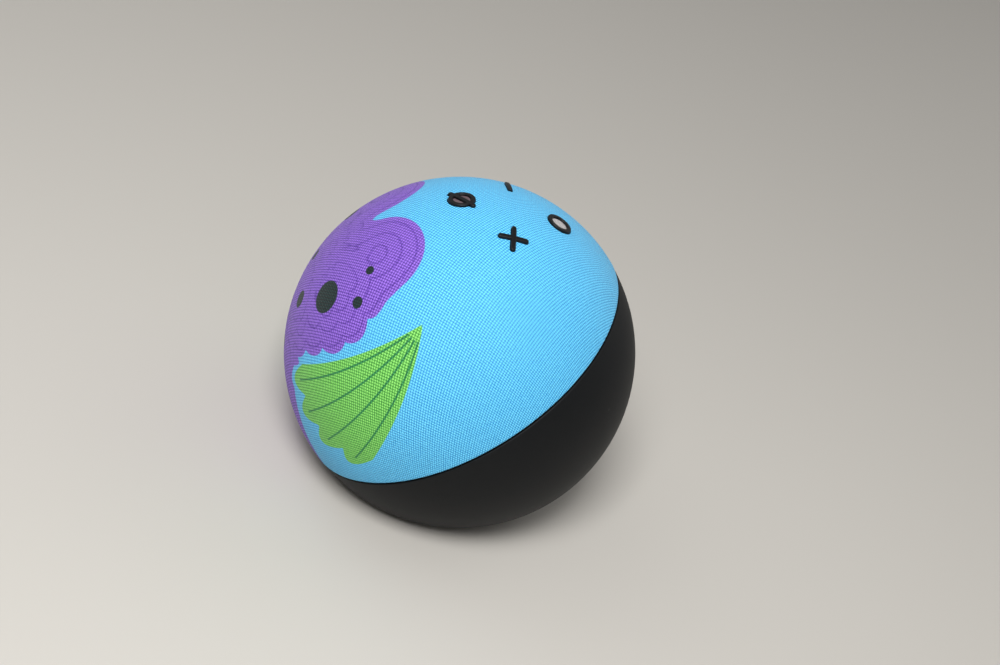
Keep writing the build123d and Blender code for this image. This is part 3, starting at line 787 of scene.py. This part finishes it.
def makeGripDots():
    values = {
        "Dot radius": gripDots["radius"],
        "Flatness": gripDots["flatness"],
        "Lift": gripDots["lift"],
        "Material": made["foot_rubber"],
    }
    for number, (radius, count) in enumerate(gripDots["circles"]):
        values[f"Circle {number}"] = radius
        values[f"Count {number}"] = count
    dots = pieceFromTree("gripDots", gripTree(), values)
    pointOutwards(dots.data)
    dots.data.polygons.foreach_set("use_smooth", [True] * len(dots.data.polygons))
    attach(dots, "housing")
    return dots


dots = makeGripDots()
print("grip dots made:", len(dots.data.polygons), "faces")


# floor, light and camera

# places and sizes in metres, powers in watts
studio = {
    "floorDrop": 0.25 * mm,
    "floorHalf": 4,
    "floorColour": (190, 186, 179),
    "floorRoughness": 0.9,
    "worldColour": (1, 1, 1, 1),
    "worldLight": 0.3,
    "keyPlace": (0.37, -0.14, 0.56),
    "keyPower": 4.6,
    "keySize": 0.24,
    "fillPlace": (-0.5, -0.6, 0.8),
    "fillPower": 1.6,
    "fillSize": 0.9,
    "backPlace": (-0.35, 0.75, 0.6),
    "backPower": 1.2,
    "backSize": 0.7,
    "cameraPlace": (0.3501, -0.0771, 0.2764),
    "cameraTurn": (56.0, -17.24, 87.51),  # degrees about x, y and z
    "lens": 54.1,  # mm, as is the sensor
    "sensorWidth": 36,
}


def makeFloor():
    mesh = bpy.data.meshes.new("floor")
    half = studio["floorHalf"]
    drop = loadedLow.z - studio["floorDrop"]
    corners = [(-half, -half, drop), (half, -half, drop), (half, half, drop), (-half, half, drop)]
    mesh.from_pydata(corners, [], [(0, 1, 2, 3)])
    floor = bpy.data.objects.new("floor", mesh)
    bpy.context.collection.objects.link(floor)
    material, shader = newMaterial("floorPaper")
    shader.inputs["Base Color"].default_value = screenColour(*studio["floorColour"])
    shader.inputs["Roughness"].default_value = studio["floorRoughness"]
    mesh.materials.append(material)


def areaLight(name, place, power, size):
    light = bpy.data.lights.new(name, "AREA")
    light.energy = power
    light.size = size
    lamp = bpy.data.objects.new(name, light)
    lamp.location = place
    lamp.rotation_euler = (ballCentre - Vector(place)).to_track_quat("-Z", "Y").to_euler()
    bpy.context.collection.objects.link(lamp)


def makeStudio():
    makeFloor()
    for name in ("key", "fill", "back"):
        areaLight(name + "Light", studio[name + "Place"], studio[name + "Power"], studio[name + "Size"])
    world = bpy.data.worlds.new("softWorld")
    world.use_nodes = True
    background = world.node_tree.nodes["Background"]
    background.inputs["Color"].default_value = studio["worldColour"]
    background.inputs["Strength"].default_value = studio["worldLight"]
    bpy.context.scene.world = world
    bpy.context.scene.view_settings.view_transform = "Standard"
    camera = bpy.data.objects.new("camera", bpy.data.cameras.new("camera"))
    camera.location = studio["cameraPlace"]
    camera.rotation_euler = [math.radians(angle) for angle in studio["cameraTurn"]]
    camera.data.lens = studio["lens"]
    camera.data.sensor_width = studio["sensorWidth"]
    bpy.context.collection.objects.link(camera)
    bpy.context.scene.camera = camera


makeStudio()
print("floor, lights and camera placed")
